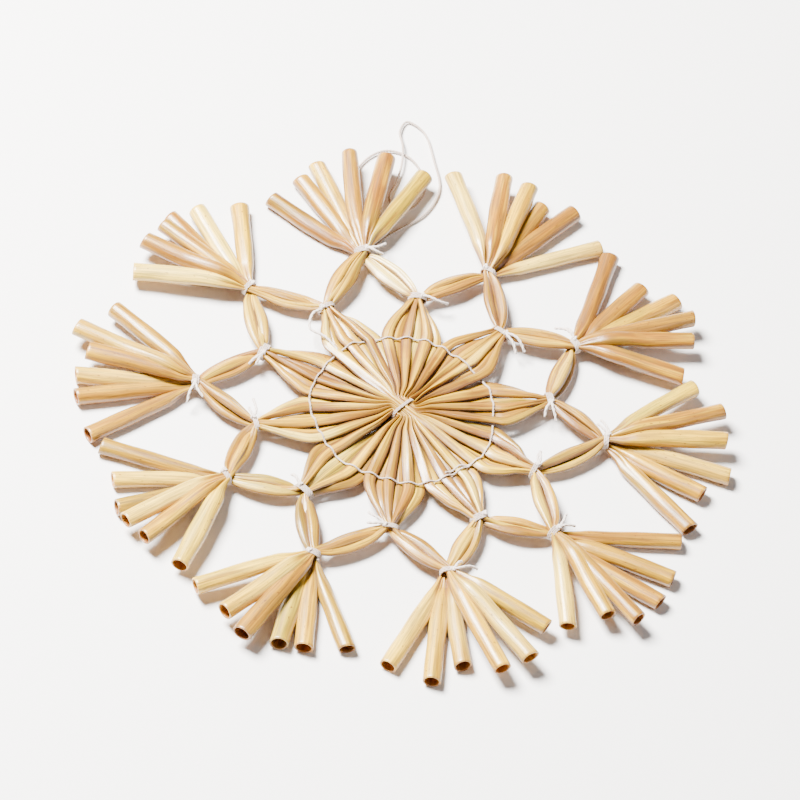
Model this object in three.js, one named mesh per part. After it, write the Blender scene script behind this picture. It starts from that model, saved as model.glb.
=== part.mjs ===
// A ten-pointed straw snowflake, lying flat on a table.
// Thirty whole straws are tied in the middle and spread into a disc of sixty rays. Outside a woven
// thread ring the rays are gathered six by six into ten petals. Each petal then splits in two, and
// neighbouring halves cross in ten outer ties and end in open fans. Millimetres, +Z up.
import * as THREE from 'three';

// Main sizes.
const STRAW_COUNT = 30;
const POINT_COUNT = 10;
const RAY_COUNT = 2 * STRAW_COUNT;
const RAYS_PER_PETAL = RAY_COUNT / POINT_COUNT;
const OUTER_TIE_RADIUS = 46.3;
const INNER_TIE_RADIUS = 33.4;
const RING_RADIUS = 20.7;
const FAN_LENGTH = 26.3;
const STRAW_DIAMETER = 2.85;
const MIDDLE_HEIGHT = 2.75;

// The tied bundle in the centre: straws squeezed on edge, in two layers.
const BUNDLE_HALF_WIDTH = 2.9;
const BUNDLE_TURN_START = 0.9;
const BUNDLE_TURN_SPREAD = 4;
const ROSETTE_RADIUS = 5.5;

// Threads.
const TIE_BAND_WIDTH = 1.1;
const TIE_BAND_THICKNESS = 0.45;
const TIE_CLEARANCE = 0.2;
const RING_THREAD_DIAMETER = 0.4;
const LOOP_DIAMETER = 0.6;
const LOOP_STEPS = 80;

// Handmade unevenness.
const TIE_RADIUS_WANDER = 1.1;
const TIE_ANGLE_WANDER = 1.6;
const GROUP_ANGLE_WANDER = 4;
const STRAW_ANGLE_WANDER = 1.8;
const FAN_LENGTH_WANDER = 2.6;
const DIAMETER_WANDER = 0.2;

const STRAW_SIDES = 6;
const HOLLOW_DEPTH = 6;
const HOLLOW_SHARE = 0.72;

const FAN_ANGLES = [-42, -21, -7.5, 7.5, 21, 42];
const degrees = THREE.MathUtils.degToRad;
const wrap = (value, count) => ((value % count) + count) % count;

// A repeatable number from -1 to 1 for a pair of whole numbers.
function wander(a, b) {
  const value = Math.sin(a * 12.9898 + b * 78.233) * 43758.5453;
  return 2 * (value - Math.floor(value)) - 1;
}

// A place along a straw: centre, width across, thickness up.
const station = (point, height, width, thickness) => ({
  x: point.x, y: point.y, z: MIDDLE_HEIGHT + height, width, thickness,
});

const polar = (radius, angle) =>
  new THREE.Vector2(radius * Math.cos(degrees(angle)), radius * Math.sin(degrees(angle)));

// A tie is a frame in the plane: a centre, an outward direction and the direction across it.
function tieFrame(radius, angle) {
  const out = polar(1, angle);
  const across = new THREE.Vector2(-out.y, out.x);
  return { centre: polar(radius, angle), out, across, angle };
}

const innerTie = (petal) => tieFrame(
  INNER_TIE_RADIUS + TIE_RADIUS_WANDER * wander(petal, 1),
  360 / POINT_COUNT * (petal + 0.5) + TIE_ANGLE_WANDER * wander(petal, 2),
);

const outerTie = (point) => tieFrame(
  OUTER_TIE_RADIUS + TIE_RADIUS_WANDER * wander(point, 3),
  360 / POINT_COUNT * point + TIE_ANGLE_WANDER * wander(point, 4),
);

const inFrame = (frame, along, sideways) =>
  frame.centre.clone().addScaledVector(frame.out, along).addScaledVector(frame.across, sideways);

// The straw whose end is the given ray, and its layer in the disc: -1 below, +1 above.
function strawOfRay(ray) {
  const quarter = STRAW_COUNT / 2;
  const right = wrap(ray + quarter, RAY_COUNT);
  return right < STRAW_COUNT ? right : RAY_COUNT - 1 - right;
}
const layerOfRay = (ray) => (strawOfRay(ray) % 2 === 0 ? -1 : 1);

// Sideways places of the six rays in an inner tie. Rays of one layer need twice the room.
function innerTiePlaces(petal) {
  const spacing = 0.66;
  const places = [0];
  for (let slot = 1; slot < RAYS_PER_PETAL; slot += 1) {
    const ray = petal * RAYS_PER_PETAL + slot;
    const sameLayer = layerOfRay(ray) === layerOfRay(ray - 1);
    places.push(places[slot - 1] + (sameLayer ? 2 * spacing : spacing));
  }
  const middle = places[RAYS_PER_PETAL - 1] / 2;
  return places.map((place) => place - middle);
}

// Petals lie over and under their neighbours in turn.
const petalLevel = (petal) => (wrap(petal, POINT_COUNT) % 2 === 0 ? 1 : -1);

// From the middle of the bundle out to the tip of one ray.
function rayStations(straw, side) {
  const share = (straw - (STRAW_COUNT - 1) / 2) / (STRAW_COUNT / 2);
  const quarter = STRAW_COUNT / 2;
  const ray = wrap(side > 0 ? straw - quarter : 3 * quarter - 1 - straw, RAY_COUNT);
  const rayAngle = 360 / RAY_COUNT * (ray + 0.5);
  const layer = layerOfRay(ray);
  const petal = Math.floor(ray / RAYS_PER_PETAL);
  const slot = ray % RAYS_PER_PETAL;
  const towardsNext = slot >= RAYS_PER_PETAL / 2;
  const groupSlot = slot % (RAYS_PER_PETAL / 2);
  const level = petalLevel(petal);
  const hairpin = straw === 0 || straw === STRAW_COUNT - 1;
  const diameter = STRAW_DIAMETER + DIAMETER_WANDER * wander(ray, 5);

  const turnStart = BUNDLE_TURN_START + BUNDLE_TURN_SPREAD * (1 - Math.abs(share));
  const turn = new THREE.Vector2(side * turnStart, BUNDLE_HALF_WIDTH * share);
  const stations = [
    station(turn, layer * 1.05, 0.34, 2.0),
    station(polar(ROSETTE_RADIUS, rayAngle), layer * 1.05, hairpin ? 0.42 : 0.95, 2.0),
    station(polar(RING_RADIUS, rayAngle), layer * 1.0, hairpin ? 1.9 : 2.8 + 0.2 * layer, 1.2),
  ];

  const inner = innerTie(petal);
  const belly = polar((RING_RADIUS + INNER_TIE_RADIUS) / 2, inner.angle)
    .addScaledVector(inner.across, (slot - (RAYS_PER_PETAL - 1) / 2) * 1.75);
  const innerPlace = innerTiePlaces(petal)[slot];
  stations.push(station(belly, layer * 0.3, 1.6, 2.1));
  stations.push(station(inFrame(inner, -0.7, innerPlace), layer * 0.7, 1.04, 1.3));
  stations.push(station(inFrame(inner, 0.7, innerPlace), layer * 0.7, 1.04, 1.3));

  const outer = outerTie(wrap(towardsNext ? petal + 1 : petal, POINT_COUNT));
  const linkWay = outer.centre.clone().sub(inner.centre).normalize();
  const linkAcross = new THREE.Vector2(-linkWay.y, linkWay.x);
  const linkMiddle = inner.centre.clone().add(outer.centre).multiplyScalar(0.5)
    .addScaledVector(linkAcross, (groupSlot - 1) * 1.5);
  stations.push(station(linkMiddle, level * 0.6 + layer * 0.25, 1.28, 1.65));

  const outerPlace = (groupSlot - 1) * 1.1 + (towardsNext ? 0.55 : -0.55);
  stations.push(station(inFrame(outer, -0.7, outerPlace), level * 0.75, 0.86, 1.3));
  stations.push(station(inFrame(outer, 0.7, outerPlace), level * 0.75, 0.86, 1.3));

  const group = 2 * petal + (towardsNext ? 1 : 0);
  const fanAngle = FAN_ANGLES[slot] + GROUP_ANGLE_WANDER * wander(group, 8)
    + STRAW_ANGLE_WANDER * wander(ray, 6);
  const fanWay = polar(1, outer.angle + fanAngle);
  const fanStart = inFrame(outer, 0.7, outerPlace);
  const lift = 0.05 + diameter / 2;
  stations.push(station(fanStart.clone().addScaledVector(fanWay, 10.5), level * lift,
    0.9 * diameter, 0.95 * diameter));
  const length = FAN_LENGTH + FAN_LENGTH_WANDER * wander(ray, 7);
  const outermost = Math.abs(FAN_ANGLES[slot]) > 30;
  const tipHeight = level > 0 && outermost ? lift - 1.2 : level * lift;
  stations.push(station(fanStart.clone().addScaledVector(fanWay, length), tipHeight,
    diameter, diameter));
  return stations;
}

// One ring of points around a station; the turn at a corner is shared by both sides of it.
// A shifted ring stays on the sloping centre line.
function sectionRing(stations, index, sides, share = 1, shift = 0) {
  const here = stations[index];
  const before = stations[Math.max(index - 1, 0)];
  const after = stations[Math.min(index + 1, stations.length - 1)];
  const arriving = new THREE.Vector2(here.x - before.x, here.y - before.y).normalize();
  const leaving = new THREE.Vector2(after.x - here.x, after.y - here.y).normalize();
  const way = arriving.add(leaving).normalize();
  const slope = (after.z - before.z) / Math.hypot(after.x - before.x, after.y - before.y);
  const ring = [];
  for (let side = 0; side < sides; side += 1) {
    const angle = 2 * Math.PI * side / sides;
    const across = share * here.width / 2 * Math.cos(angle);
    const up = share * here.thickness / 2 * Math.sin(angle);
    ring.push(new THREE.Vector3(
      here.x - way.y * across + way.x * shift,
      here.y + way.x * across + way.y * shift,
      here.z + up + slope * shift,
    ));
  }
  return ring;
}

// Skins a list of rings of equal size. The last ring joins the first when the tube is closed.
function skin(rings, closed, caps) {
  const sides = rings[0].length;
  const points = rings.flat();
  const faces = [];
  const at = (ring, side) => (ring % rings.length) * sides + (side % sides);
  const spans = closed ? rings.length : rings.length - 1;
  for (let ring = 0; ring < spans; ring += 1) {
    for (let side = 0; side < sides; side += 1) {
      faces.push(at(ring, side), at(ring, side + 1), at(ring + 1, side));
      faces.push(at(ring, side + 1), at(ring + 1, side + 1), at(ring + 1, side));
    }
  }
  if (caps) {
    for (let side = 1; side < sides - 1; side += 1) {
      faces.push(at(0, 0), at(0, side + 1), at(0, side));
      const last = rings.length - 1;
      faces.push(at(last, 0), at(last, side), at(last, side + 1));
    }
  }
  const geometry = new THREE.BufferGeometry();
  geometry.setAttribute('position', new THREE.Float32BufferAttribute(
    points.flatMap((point) => point.toArray()), 3,
  ));
  geometry.setIndex(faces);
  geometry.computeVertexNormals();
  return geometry;
}

// A whole straw: skin over all stations, with both ends hollowed out.
function strawGeometry(straw) {
  const left = rayStations(straw, -1).reverse();
  const stations = left.concat(rayStations(straw, 1));
  const last = stations.length - 1;
  const rings = [
    sectionRing(stations, 0, STRAW_SIDES, HOLLOW_SHARE, HOLLOW_DEPTH),
    sectionRing(stations, 0, STRAW_SIDES, HOLLOW_SHARE),
  ];
  stations.forEach((_, index) => rings.push(sectionRing(stations, index, STRAW_SIDES)));
  rings.push(sectionRing(stations, last, STRAW_SIDES, HOLLOW_SHARE));
  rings.push(sectionRing(stations, last, STRAW_SIDES, HOLLOW_SHARE, -HOLLOW_DEPTH));
  return skin(rings, false, true);
}

// A flat thread band around a bundle. The outline is a box with cut corners, across the way;
// flat is the share of each side that stays straight.
function bandGeometry(frame, halfWidth, halfHeight, bandWidth, flatSide, flatTop) {
  const a = halfWidth + TIE_CLEARANCE;
  const b = halfHeight + TIE_CLEARANCE;
  const outline = [[1, -flatSide], [1, flatSide], [flatTop, 1], [-flatTop, 1],
    [-1, flatSide], [-1, -flatSide], [-flatTop, -1], [flatTop, -1]];
  const rings = outline.map(([sideways, up]) => {
    const corner = (grow, along) => {
      const place = inFrame(frame, along * bandWidth / 2, sideways * (a + grow));
      return new THREE.Vector3(place.x, place.y, MIDDLE_HEIGHT + up * (b + grow));
    };
    return [corner(0, -1), corner(0, 1), corner(TIE_BAND_THICKNESS, 1),
      corner(TIE_BAND_THICKNESS, -1)];
  });
  return skin(rings, true, false);
}

function ringThreadGeometry() {
  const segments = 40;
  const rings = [];
  for (let segment = 0; segment < segments; segment += 1) {
    const angle = 360 * segment / segments;
    const ring = [];
    for (let side = 0; side < 4; side += 1) {
      const turn = -Math.PI / 2 * side;
      const place = polar(RING_RADIUS + RING_THREAD_DIAMETER / 2 * Math.cos(turn), angle);
      const height = MIDDLE_HEIGHT + RING_THREAD_DIAMETER / 2 * Math.sin(turn);
      ring.push(new THREE.Vector3(place.x, place.y, height));
    }
    rings.push(ring);
  }
  const geometry = skin(rings, true, false);
  return geometry;
}

// The hanging loop: limp thread from under one fan tie, out beside the fan in two arches and back.
// Each place is along and across the tie's direction, and above the table.
const LOOP_POINT = 4;
const LOOP_ROUTE = [
  [1.6, -0.4, 0.7], [11, -1.9, 0.5], [21, -2.2, 0.5], [28.4, -6, 0.5], [31.6, -12, 0.5],
  [29.6, -16.8, 0.5], [24.2, -19.2, 0.5], [18.2, -18.6, 0.5], [14, -15, 0.5], [13.6, -11.2, 0.6],
  [17.2, -10, 0.7], [21.5, -12.6, 0.9], [27, -15, 1.3], [32, -16.2, 1.3], [37, -16.6, 0.8],
  [40, -19, 0.5], [36.6, -22.2, 0.5], [28, -22.9, 0.5], [19, -22.4, 0.5], [12, -17.6, 0.5],
  [6.5, -8.4, 0.5], [1.6, -1.6, 0.7],
];

function loopPath() {
  const frame = outerTie(LOOP_POINT);
  const points = LOOP_ROUTE.map(([along, sideways, height]) => {
    const place = inFrame(frame, along, sideways);
    return new THREE.Vector3(place.x, place.y, height);
  });
  return new THREE.CatmullRomCurve3(points, false, 'centripetal');
}

function loopGeometry() {
  const places = loopPath().getSpacedPoints(LOOP_STEPS);
  const stations = places.map((place) => ({
    x: place.x, y: place.y, z: place.z, width: LOOP_DIAMETER, thickness: LOOP_DIAMETER,
  }));
  return skin(stations.map((_, index) => sectionRing(stations, index, 8)), false, true);
}

const strawColours = [0xd9b77c, 0xcfa869, 0xe2c795, 0xc9a063, 0xd8c08a];
const strawMaterials = strawColours.map((color) =>
  new THREE.MeshStandardMaterial({ color, roughness: 0.5, metalness: 0 }));
const threadMaterial = new THREE.MeshStandardMaterial({ color: 0xe9dfd6, roughness: 0.85, metalness: 0 });

const group = new THREE.Group();
group.name = 'straw_snowflake';

function add(name, geometry, material) {
  const mesh = new THREE.Mesh(geometry, material);
  mesh.name = name;
  group.add(mesh);
}
const numbered = (name, index) => `${name}_${String(index + 1).padStart(2, '0')}`;

for (let straw = 0; straw < STRAW_COUNT; straw += 1) {
  const material = strawMaterials[wrap(straw * 3 + Math.floor(straw / 4), strawMaterials.length)];
  add(numbered('straw', straw), strawGeometry(straw), material);
}
for (let petal = 0; petal < POINT_COUNT; petal += 1) {
  const places = innerTiePlaces(petal);
  const halfWidth = places[RAYS_PER_PETAL - 1] + 0.59;
  add(numbered('inner_tie', petal), bandGeometry(innerTie(petal), halfWidth, 1.3,
    TIE_BAND_WIDTH, 0.5, 0.75),
    threadMaterial);
}
for (let point = 0; point < POINT_COUNT; point += 1) {
  add(numbered('outer_tie', point), bandGeometry(outerTie(point), 2.15, 1.35,
    TIE_BAND_WIDTH, 0.5, 0.75),
    threadMaterial);
}
add('ring_thread', ringThreadGeometry(), threadMaterial);
const centreFrame = tieFrame(0, 0);
add('centre_tie', bandGeometry(centreFrame, BUNDLE_HALF_WIDTH + 0.25, 1.95, 0.9,
  0.75, 0.9), threadMaterial);
add('hanging_loop', loopGeometry(), threadMaterial);

// The origin goes to the middle of the underside, measured without the hanging loop.
const box = new THREE.Box3();
group.children.filter((mesh) => mesh.name !== 'hanging_loop').forEach((mesh) => {
  mesh.geometry.computeBoundingBox();
  box.union(mesh.geometry.boundingBox);
});
const middle = box.getCenter(new THREE.Vector3());
group.children.forEach((mesh) => mesh.geometry.translate(-middle.x, -middle.y, -box.min.z));

export default group;
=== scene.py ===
"""A ten-pointed straw snowflake, tied with cotton thread, lying on a pale table."""

import math
from collections import namedtuple

import bpy
from mathutils import Matrix, Vector


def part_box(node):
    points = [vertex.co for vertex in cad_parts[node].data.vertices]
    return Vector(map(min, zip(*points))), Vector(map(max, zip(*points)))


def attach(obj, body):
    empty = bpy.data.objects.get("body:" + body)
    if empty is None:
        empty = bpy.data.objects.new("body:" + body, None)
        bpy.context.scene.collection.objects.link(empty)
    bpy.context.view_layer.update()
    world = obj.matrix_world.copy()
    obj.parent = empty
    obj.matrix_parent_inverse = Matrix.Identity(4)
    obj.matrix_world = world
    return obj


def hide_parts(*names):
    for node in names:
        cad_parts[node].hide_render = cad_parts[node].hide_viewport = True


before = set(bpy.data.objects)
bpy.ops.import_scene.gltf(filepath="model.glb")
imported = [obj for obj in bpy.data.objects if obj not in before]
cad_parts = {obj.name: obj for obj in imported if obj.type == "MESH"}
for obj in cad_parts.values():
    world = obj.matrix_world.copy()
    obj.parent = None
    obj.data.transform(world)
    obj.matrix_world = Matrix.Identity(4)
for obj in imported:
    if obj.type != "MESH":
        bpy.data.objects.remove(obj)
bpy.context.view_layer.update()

bl_info = {
    "name": "Straw snowflake",
    "version": (1, 0, 0),
    "blender": (4, 5, 0),
    "location": "View3D > Sidebar > Straw snowflake",
    "description": "Whole straws tied into a spoked disc with petals and fans, and its thread",
    "category": "Object",
}

MM = 0.001

# The layout of the solids, in millimetres, measured from the middle of the ring thread.
STRAW_COUNT = 30
POINT_COUNT = 10
RAY_COUNT = 2 * STRAW_COUNT
RAYS_PER_PETAL = RAY_COUNT // POINT_COUNT
OUTER_TIE_RADIUS = 46.3
INNER_TIE_RADIUS = 33.4
RING_RADIUS = 20.7
FAN_LENGTH = 26.3
STRAW_DIAMETER = 2.85
BUNDLE_HALF_WIDTH = 2.9
BUNDLE_TURN_START = 0.6
BUNDLE_TURN_SPREAD = 2.6
ROSETTE_RADIUS = 5.5
TIE_RADIUS_WANDER = 1.1
TIE_ANGLE_WANDER = 1.6
GROUP_ANGLE_WANDER = 4.0
STRAW_ANGLE_WANDER = 1.8
FAN_LENGTH_WANDER = 2.6
FAN_ANGLES = (-42.0, -21.0, -7.5, 7.5, 21.0, 42.0)
INNER_SQUEEZE = 0.7
OUTER_SQUEEZE = 0.64
OUTER_TIE_REACH = 1.62
FAN_SWELL = 1.44
THREAD_STEP = 0.16
SPLIT_LINK = 7  # this link between two ties is split open, with whitish straws
LOOP_POINT = 4
LOOP_ROUTE = (
    (1.6, -0.4, 0.7), (11, -1.9, 0.5), (21, -2.2, 0.5), (28.4, -6, 0.5), (31.6, -12, 0.5),
    (29.6, -16.8, 0.5), (24.2, -19.2, 0.5), (18.2, -18.6, 0.5), (14, -15, 0.5), (13.6, -11.2, 0.6),
    (17.2, -10, 0.7), (21.5, -12.6, 0.9), (27, -15, 1.3), (32, -16.2, 1.3), (37, -16.6, 0.8),
    (40, -19, 0.5), (36.6, -22.2, 0.5), (28, -22.9, 0.5), (19, -22.4, 0.5), (12, -17.6, 0.5),
    (6.5, -8.4, 0.5), (1.6, -1.6, 0.7),
)

RING_LOW, RING_HIGH = (Vector(corner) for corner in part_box("ring_thread"))
HUB = (RING_LOW + RING_HIGH) / 2
LOOP_LOW = Vector(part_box("hanging_loop")[0])


def wander(a, b):
    """A repeatable number from -1 to 1 for a pair of whole numbers."""
    value = math.sin(a * 12.9898 + b * 78.233) * 43758.5453
    return 2 * (value - math.floor(value)) - 1


def polar(radius, angle):
    turn = math.radians(angle)
    return Vector((radius * math.cos(turn), radius * math.sin(turn)))


def across_of(way):
    return Vector((-way.y, way.x))


def mix(low, high, share):
    return low + (high - low) * share


class Tie:
    """A tie's centre, the way out of the snowflake there and the way across it."""

    def __init__(self, radius, angle):
        self.angle = angle
        self.centre = polar(radius, angle)
        self.out = polar(1, angle)
        self.across = across_of(self.out)

    def place(self, along, sideways):
        return self.centre + self.out * along + self.across * sideways


def inner_tie(petal):
    return Tie(
        INNER_TIE_RADIUS + TIE_RADIUS_WANDER * wander(petal, 1),
        360 / POINT_COUNT * (petal + 0.5) + TIE_ANGLE_WANDER * wander(petal, 2),
    )


def outer_tie(point):
    return Tie(
        OUTER_TIE_RADIUS + TIE_RADIUS_WANDER * wander(point, 3),
        360 / POINT_COUNT * point + TIE_ANGLE_WANDER * wander(point, 4),
    )


def straw_of_ray(ray):
    right = (ray + STRAW_COUNT // 2) % RAY_COUNT
    return right if right < STRAW_COUNT else RAY_COUNT - 1 - right


def layer_of_ray(ray):
    return -1 if straw_of_ray(ray) % 2 == 0 else 1


def inner_tie_places(petal):
    """Sideways places of the six rays in an inner tie; rays of one layer need twice the room."""
    spacing = 0.66
    places = [0.0]
    for slot in range(1, RAYS_PER_PETAL):
        ray = petal * RAYS_PER_PETAL + slot
        same_layer = layer_of_ray(ray) == layer_of_ray(ray - 1)
        places.append(places[-1] + (2 * spacing if same_layer else spacing))
    return [place - places[-1] / 2 for place in places]


def inner_tie_reach(petal):
    """From the middle of an inner tie sideways to its thread."""
    places = inner_tie_places(petal)
    return INNER_SQUEEZE * (places[-1] - places[0]) / 2 + 0.8


Station = namedtuple("Station", "x y height width thickness pinch ridge sun")


def station(point, height, width, thickness, pinch=0.0, ridge=0.0, sun=0.0):
    """One place along a straw: its middle, its width and thickness, and how creased it is there.

    Pinch deepens the lengthwise folds. Ridge turns the round straw into a flattened one with a
    crest along its top. Sun is 1 where the straw is bleached and -1 where it is ripe and tan.
    """
    return Station(point.x, point.y, height, width, thickness, pinch, ridge, sun)


def thread_passes_over(ray):
    """The ring thread runs over every lower ray and over most of the upper ones."""
    return layer_of_ray(ray) < 0 or wander(ray, 25) > -0.55


class Ray:
    """One half of a straw: which ray it is, the ties it goes through and its own small size."""

    def __init__(self, straw, side, fullness):
        quarter = STRAW_COUNT // 2
        self.straw = straw
        self.side = side
        self.number = (straw - quarter if side > 0 else 3 * quarter - 1 - straw) % RAY_COUNT
        self.angle = 360 / RAY_COUNT * (self.number + 0.5)
        self.layer = layer_of_ray(self.number)
        self.petal, self.slot = divmod(self.number, RAYS_PER_PETAL)
        self.level = 1 if self.petal % 2 == 0 else -1
        self.towards_next = self.slot >= RAYS_PER_PETAL // 2
        self.link = 2 * self.petal + (1 if self.towards_next else 0)
        self.link_slot = self.slot % (RAYS_PER_PETAL // 2) - 1
        self.between = self.link_slot == 0
        self.full = fullness * (1 + 0.1 * wander(self.number, 9))
        self.inner = inner_tie(self.petal)
        self.inner_place = INNER_SQUEEZE * inner_tie_places(self.petal)[self.slot]
        self.outer = outer_tie((self.petal + self.towards_next) % POINT_COUNT)
        half = 0.55 if self.towards_next else -0.55
        self.outer_place = OUTER_SQUEEZE * (self.link_slot * 1.1 + half)

    def ring_width(self):
        """Lower rays spread widest, and an upper ray that the thread misses stays narrow."""
        if self.layer < 0:
            return 3.3
        return 2.8 if thread_passes_over(self.number) else 2.2

    def ring_height(self):
        """Lower rays lie under the ring thread, and it presses the upper ones that it crosses."""
        if self.layer < 0:
            return -0.62
        return 0.42 if thread_passes_over(self.number) else 0.85


def petal_sun_of(ray):
    """How bleached or dark a ray is from just inside the ring thread to its inner tie."""
    return 1.1 * wander(ray.number, 28)


def disc_stations(ray):
    """From the middle of the bundle out to the ring thread."""
    share = (ray.straw - (STRAW_COUNT - 1) / 2) / (STRAW_COUNT / 2)
    turn_start = BUNDLE_TURN_START + BUNDLE_TURN_SPREAD * (1 - abs(share))
    turn = Vector((ray.side * turn_start, BUNDLE_HALF_WIDTH * share))
    narrow = 0.6 if ray.straw in (0, STRAW_COUNT - 1) else 1.0  # the two bent back on themselves
    upper = ray.layer > 0
    cover = max(0.0, 1 - 0.32 * abs(ray.straw - STRAW_COUNT // 2)) if upper else 0.0
    lift = 0.5 * cover
    bundle_height = ray.layer * 0.95 + lift
    width, height = ray.ring_width() * ray.full, ray.ring_height()
    disc_sun = 0.8 * wander(ray.straw, 30)
    petal_sun = petal_sun_of(ray)
    return [
        station(turn, ray.layer + lift, mix(0.55, 1.75, cover), 2.0 - lift, 0.9, 0.5, disc_sun),
        station(polar(ROSETTE_RADIUS + 1, ray.angle), bundle_height,
                mix(1.3, 2.1, cover) * narrow, 2.0 - lift, 0.4, 1.0, disc_sun),
        station(polar(13, ray.angle), mix(ray.layer * 0.95, height, 0.4),
                (2.4 if upper else 2.7) * ray.full * mix(narrow, 1, 0.3), 1.8, 0.2, 1.0, disc_sun),
        station(polar(RING_RADIUS - 1.8, ray.angle), height,
                width * mix(narrow, 1, 0.45), 1.35, 0.1, 1.0, petal_sun),
        station(polar(RING_RADIUS, ray.angle), height,
                0.97 * width * mix(narrow, 1, 0.45), 1.1, 0.15, 0.9, petal_sun),
    ]


def petal_stations(ray):
    """From the ring thread out to the inner tie, swelling sideways into a petal."""
    inner = ray.inner
    bow = ray.slot - (RAYS_PER_PETAL - 1) / 2
    shoulder = polar(RING_RADIUS + 1.8, inner.angle) + inner.across * bow * 2.16
    belly = polar(mix(RING_RADIUS, INNER_TIE_RADIUS, 0.45), inner.angle) + inner.across * bow * 1.66
    neck = inner.place(-3.2, mix(ray.inner_place, bow * 1.35, 0.5))
    sun = petal_sun_of(ray)
    return [
        station(shoulder, mix(ray.ring_height(), ray.layer * 0.42, 0.4),
                mix(ray.ring_width(), 2.5, 0.6) * ray.full, 1.5, 0.2, 0.85, sun),
        station(belly, ray.layer * 0.42, 2.2 * ray.full, 1.8, 0.25, 0.75, sun),
        station(neck, ray.layer * 0.6, 1.5 * ray.full, 1.5, 0.6, 0.7, sun),
        station(inner.place(0, ray.inner_place), ray.layer * 0.62, 1.1, 1.2, 1.0, 0.4),
    ]


def link_stations(ray):
    """From the inner tie to the outer one: three straws that bow apart and close up again."""
    inner, outer = ray.inner, ray.outer
    way = outer.centre - inner.centre
    across = across_of(way.normalized())
    split = ray.link == SPLIT_LINK
    apart = (1.9 if split else 1.3) + 0.2 * wander(ray.number, 10)
    if not ray.between:
        shift = apart * ray.link_slot
    else:
        shift = -1.2 if split else 0.25 * wander(ray.number, 26)
    sun = 1.6 if split else 0.9 * wander(ray.number, 29)
    middle_on_top = wander(ray.link, 31) > 0.4 and not split
    rise = 0.45 if ray.between == middle_on_top else -0.6
    stations = []
    for part, width, pinch in ((0.22, 2.15, 0.5), (0.5, 2.75, 0.25), (0.78, 2.05, 0.5)):
        swell = math.sin(math.pi * part)
        sideways = mix(mix(0.5, 0.4, part) * ray.link_slot, shift, swell)
        middle = inner.centre + way * part + across * sideways
        height = mix(ray.layer * 0.62, ray.level * 0.7, part) * (1 - 0.5 * swell) + rise * swell
        stations.append(station(middle, height, width * ray.full, 1.3 + 0.6 * swell, pinch, 0.85,
                                sun))
    end = outer.place(0, ray.outer_place)
    return stations + [station(end, ray.level * 0.7, 1.0, 1.2, 1.0, 0.4)]


def fan_stations(ray):
    """From the outer tie to the open tip, opening from a pinched neck into a round tube."""
    number, level = ray.number, ray.level
    diameter = STRAW_DIAMETER + 0.2 * wander(number, 5)
    tube = FAN_SWELL * diameter
    fan_angle = (FAN_ANGLES[ray.slot] + GROUP_ANGLE_WANDER * wander(ray.link, 8)
                 + STRAW_ANGLE_WANDER * wander(number, 6))
    way = polar(1, ray.outer.angle + fan_angle)
    start = ray.outer.place(0.7, ray.outer_place)
    length = FAN_LENGTH + FAN_LENGTH_WANDER * wander(number, 7)
    rest = 0.05 + diameter / 2
    low_tip = level > 0 and abs(FAN_ANGLES[ray.slot]) > 30
    tip_height = rest - 1.2 if low_tip else level * rest
    perch = level * (0.75 if ray.between else -0.15)
    bend = across_of(way) * 0.35 * wander(number, 32)
    oval = 1 + 0.05 * wander(number, 33)
    sun = 1.2 * wander(number, 27)
    return [
        station(start + way * 3, mix(level * 0.7, level * rest, 0.5) + 0.7 * perch, 0.6 * tube,
                0.6 * tube, 0.8, 0.6, 0.5 * sun),
        station(start + way * 7 + bend, level * rest + perch, 0.92 * tube, 0.76 * tube,
                0.3, 0.35, sun),
        station(start + way * mix(7, length, 0.5) + bend, mix(level * rest, tip_height, 0.5),
                1.01 * tube, 0.84 * tube, 0.08, 0.1, sun),
        station(start + way * length, tip_height, tube * oval, 0.88 * tube / oval,
                0.0, 0.05, 0.8 * sun),
    ]


def ray_stations(straw, side, fullness):
    """From the middle of the bundle out to the tip of one ray, in millimetres from the hub."""
    ray = Ray(straw, side, fullness)
    return disc_stations(ray) + petal_stations(ray) + link_stations(ray) + fan_stations(ray)


def steady_cubic(xs, ys, at):
    """Cubic through the points that never overshoots them, read at each of the places at."""
    count = len(xs)
    slopes = [(ys[i + 1] - ys[i]) / (xs[i + 1] - xs[i]) for i in range(count - 1)]
    tangents = [slopes[0]]
    for i in range(1, count - 1):
        low, high = slopes[i - 1], slopes[i]
        tangents.append(0.0 if low * high <= 0 else 2 * low * high / (low + high))
    tangents.append(slopes[-1])
    values = []
    span = 0
    for x in at:
        while span < count - 2 and x > xs[span + 1]:
            span += 1
        width = xs[span + 1] - xs[span]
        t = (x - xs[span]) / width
        values.append(
            (2 * t ** 3 - 3 * t ** 2 + 1) * ys[span]
            + (t ** 3 - 2 * t ** 2 + t) * width * tangents[span]
            + (3 * t ** 2 - 2 * t ** 3) * ys[span + 1]
            + (t ** 3 - t ** 2) * width * tangents[span + 1]
        )
    return values


def smooth_track(stations, step):
    """The stations joined by smooth curves and read about every step, with the distance run."""
    runs = [0.0]
    for before, after in zip(stations, stations[1:]):
        runs.append(runs[-1] + math.dist(before[:3], after[:3]))
    count = max(2, round(runs[-1] / step))
    at = [runs[-1] * i / count for i in range(count + 1)]
    columns = [steady_cubic(runs, [s[k] for s in stations], at) for k in range(len(stations[0]))]
    return at, [Station(*values) for values in zip(*columns)]


# Small builders for node trees.

def socket(sockets, name):
    """The socket in use with that name; a node keeps one for each kind of value and shows one."""
    return next(s for s in sockets if s.enabled and name in (s.name, s.identifier))


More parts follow.
